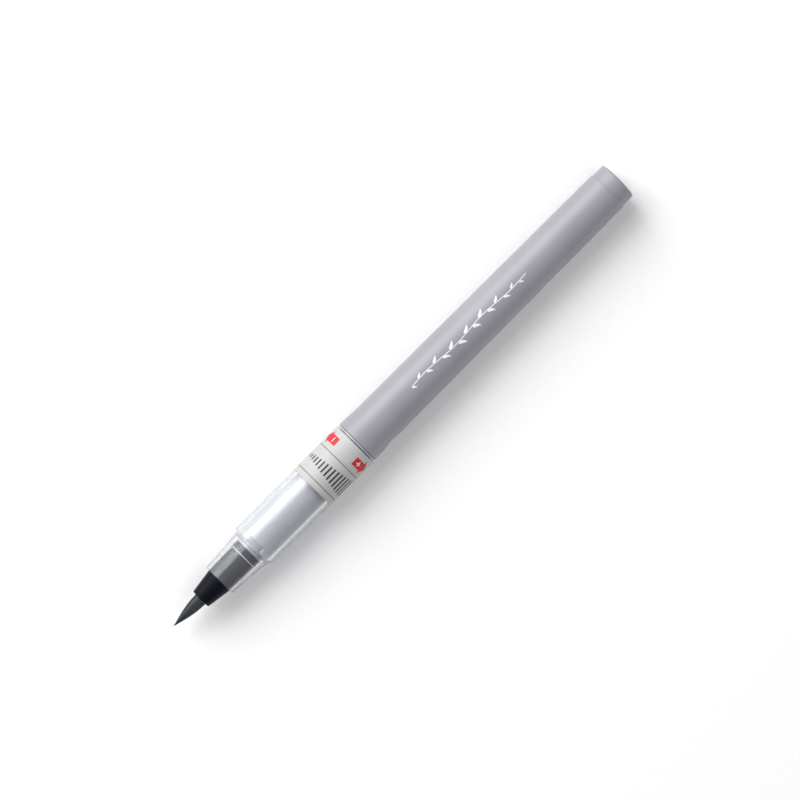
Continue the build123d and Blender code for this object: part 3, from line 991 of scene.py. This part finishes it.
def print_scale():
    """A row of ticks round the film that grow in length, between two thin rules."""
    scale = Print(on_film, FILM_INK_HEIGHT)
    for number in range(TICKS):
        share = number / (TICKS - 1)
        around = SCALE_HALF_SPAN * (1 - 2 * share)
        reach = (SHORT_TICK + (LONG_TICK - SHORT_TICK) * share) / 2
        line = [(SCALE_MIDDLE - reach, around), (SCALE_MIDDLE, around), (SCALE_MIDDLE + reach, around)]
        scale.strip(line, [TICK_WIDTH] * len(line))
    steps = 60
    places = [RULE_HALF_SPAN * (2 * step / steps - 1) for step in range(steps + 1)]
    for station in RULE_STATIONS:
        scale.strip([(station, around) for around in places], [RULE_WIDTH] * len(places))
    return scale.make("label_print", black_ink, "grip")


label_print = print_scale()

# %% Print the arrows
ARROW_MIDDLE = 63.95
ARROW_HEAD = 2.1
ARROW_SHAFT = 1.2
ARROW_LENGTH = 5.6
ARROW_HEAD_LENGTH = 2.3
ARROW_BASES = ((3.75, 1), (-3.0, -1))
ARROW_INK_HEIGHT = 0.005
SIGN_PLACE = 1.7
SIGN_REACH = 0.75
SIGN_WIDTH = 0.16
SIGN_INK_HEIGHT = 0.011


def arrow(target, base, direction):
    """An arrow that points round the pen: one strip that widens suddenly at the head and narrows to its point."""
    centres, widths = [], []
    neck = ARROW_LENGTH - ARROW_HEAD_LENGTH
    places = [neck * step / 12 for step in range(13)]
    places += [neck + 0.01 + ARROW_HEAD_LENGTH * step / 10 for step in range(11)]
    for place in places:
        centres.append((ARROW_MIDDLE, base + direction * place))
        if place <= neck:
            widths.append(ARROW_SHAFT)
        else:
            widths.append(max(0.02, ARROW_HEAD * (1 - (place - neck) / ARROW_HEAD_LENGTH)))
    target.strip(centres, widths, rows=8)


def print_arrows():
    """The two red arrows."""
    shapes = Print(on_film, ARROW_INK_HEIGHT)
    for base, direction in ARROW_BASES:
        arrow(shapes, base, direction)
    return shapes.make("label_arrows", red_ink, "grip")


def print_signs():
    """The white minus on one arrow and the white plus on the other."""
    signs = Print(on_film, SIGN_INK_HEIGHT)
    for base, direction in ARROW_BASES:
        middle = base + direction * SIGN_PLACE
        level = [(ARROW_MIDDLE + reach, middle) for reach in (-SIGN_REACH, 0.0, SIGN_REACH)]
        signs.strip(level, [SIGN_WIDTH] * len(level))
        if direction < 0:
            upright = [(ARROW_MIDDLE, middle + SIGN_REACH * (step / 3 - 1)) for step in range(7)]
            signs.strip(upright, [SIGN_WIDTH] * len(upright))
    return signs.make("label_signs", white_ink, "grip")


label_arrows = print_arrows()
label_signs = print_signs()

# %% [markdown]
# ## Floor, light and camera
# The pen lies on a plain pale floor. Two softboxes lean in from one side of it, a small bright one in front of a wide
# one, so the barrel has one broad highlight with soft edges and falls off to dark on the other side. A weaker fill
# from that other side lifts the dark plastics and shows in no reflection, and a dim pale sky does the rest. The
# camera looks almost straight down through a long lens, turned so that the pen lies on a slant.

# %% The floor


def pale_floor():
    """A large plain floor just under the pen, with a barely visible tooth."""
    size = 6.0
    level = cad_box[0].z
    corners = [(-size, -size, level), (size, -size, level), (size, size, level), (-size, size, level)]
    material, tree, shader = new_material("floor_paper")
    place = add(tree, "ShaderNodeTexCoord").outputs["Object"]
    tooth = add(tree, "ShaderNodeTexNoise", {"Vector": place, "Scale": 400.0, "Detail": 3.0}).outputs["Fac"]
    tree.links.new(blend_colours(tree, tooth, colour(0.89, 0.89, 0.89), colour(0.91, 0.91, 0.91)), shader.inputs[0])
    set_plain(shader, Roughness=0.9, Specular_IOR_Level=0.1)
    floor = mesh_object("floor", corners, [(0, 1, 2, 3)], material, smooth=False)


pale_floor()

# %% The lights
SOFTBOX_DISTANCE = 0.9
SOFTBOX_LEAN = radians(52)
SOFTBOX_SIZE = 0.6
SOFTBOX_POWER = 4.6
GLOW_DISTANCE = 1.0
GLOW_SIZE = 1.3
GLOW_POWER = 10.5
FILL_DISTANCE = 1.2
FILL_LEAN = radians(-28)
FILL_SIZE = 1.0
FILL_POWER = 4.8
SKY_STRENGTH = 0.26


def softbox(name, lean, distance, size, power):
    """A square area light that leans from straight above towards +Y and is aimed at the middle of the floor."""
    lamp = bpy.data.lights.new(name, "AREA")
    lamp.shape = "SQUARE"
    lamp.size = size
    lamp.energy = power
    holder = bpy.data.objects.new(name, lamp)
    away = Vector((0, sin(lean), cos(lean)))
    holder.location = away * distance
    holder.rotation_euler = away.to_track_quat("Z", "Y").to_euler()
    bpy.context.scene.collection.objects.link(holder)
    return holder


softbox("key_light", SOFTBOX_LEAN, SOFTBOX_DISTANCE, SOFTBOX_SIZE, SOFTBOX_POWER)
softbox("key_glow", SOFTBOX_LEAN, GLOW_DISTANCE, GLOW_SIZE, GLOW_POWER)
fill_light = softbox("fill_light", FILL_LEAN, FILL_DISTANCE, FILL_SIZE, FILL_POWER)
fill_light.visible_glossy = False
fill_light.visible_transmission = False
sky = bpy.data.worlds.new("studio")
sky.use_nodes = True
sky.node_tree.nodes["Background"].inputs["Color"].default_value = colour(0.97, 0.98, 1.0)
sky.node_tree.nodes["Background"].inputs["Strength"].default_value = SKY_STRENGTH
bpy.context.scene.world = sky
bpy.context.scene.view_settings.view_transform = "Standard"

# %% The camera
CAMERA_HEIGHT = 1.45
CAMERA_FOOT = 50.0
FRAME_CENTRE = 83.6
FRAME_ASIDE = -0.17
PEN_SLANT = radians(45.1)
FRAME_WIDTH = 209.1
SENSOR = 36.0


def long_lens_camera():
    """A camera above the pen whose picture has the pen on its rising diagonal."""
    data = bpy.data.cameras.new("camera")
    data.sensor_width = SENSOR
    data.lens = SENSOR * CAMERA_HEIGHT / (FRAME_WIDTH * MM)
    data.clip_start = 0.05
    data.clip_end = 50.0
    holder = bpy.data.objects.new("camera", data)
    target = Vector((x_at(FRAME_CENTRE), FRAME_ASIDE * MM, AXIS_Z))
    eye = Vector((x_at(CAMERA_FOOT), 0.0, AXIS_Z + CAMERA_HEIGHT))
    look = (target - eye).normalized()
    right = look.cross(Vector((sin(PEN_SLANT), cos(PEN_SLANT), 0))).normalized()
    up = right.cross(look)
    turn = Matrix((right, up, -look)).transposed().to_4x4()
    holder.matrix_world = Matrix.Translation(eye) @ turn
    bpy.context.scene.collection.objects.link(holder)
    bpy.context.scene.camera = holder
    print(f"camera lens {data.lens:.0f} mm at {CAMERA_HEIGHT} m")


long_lens_camera()
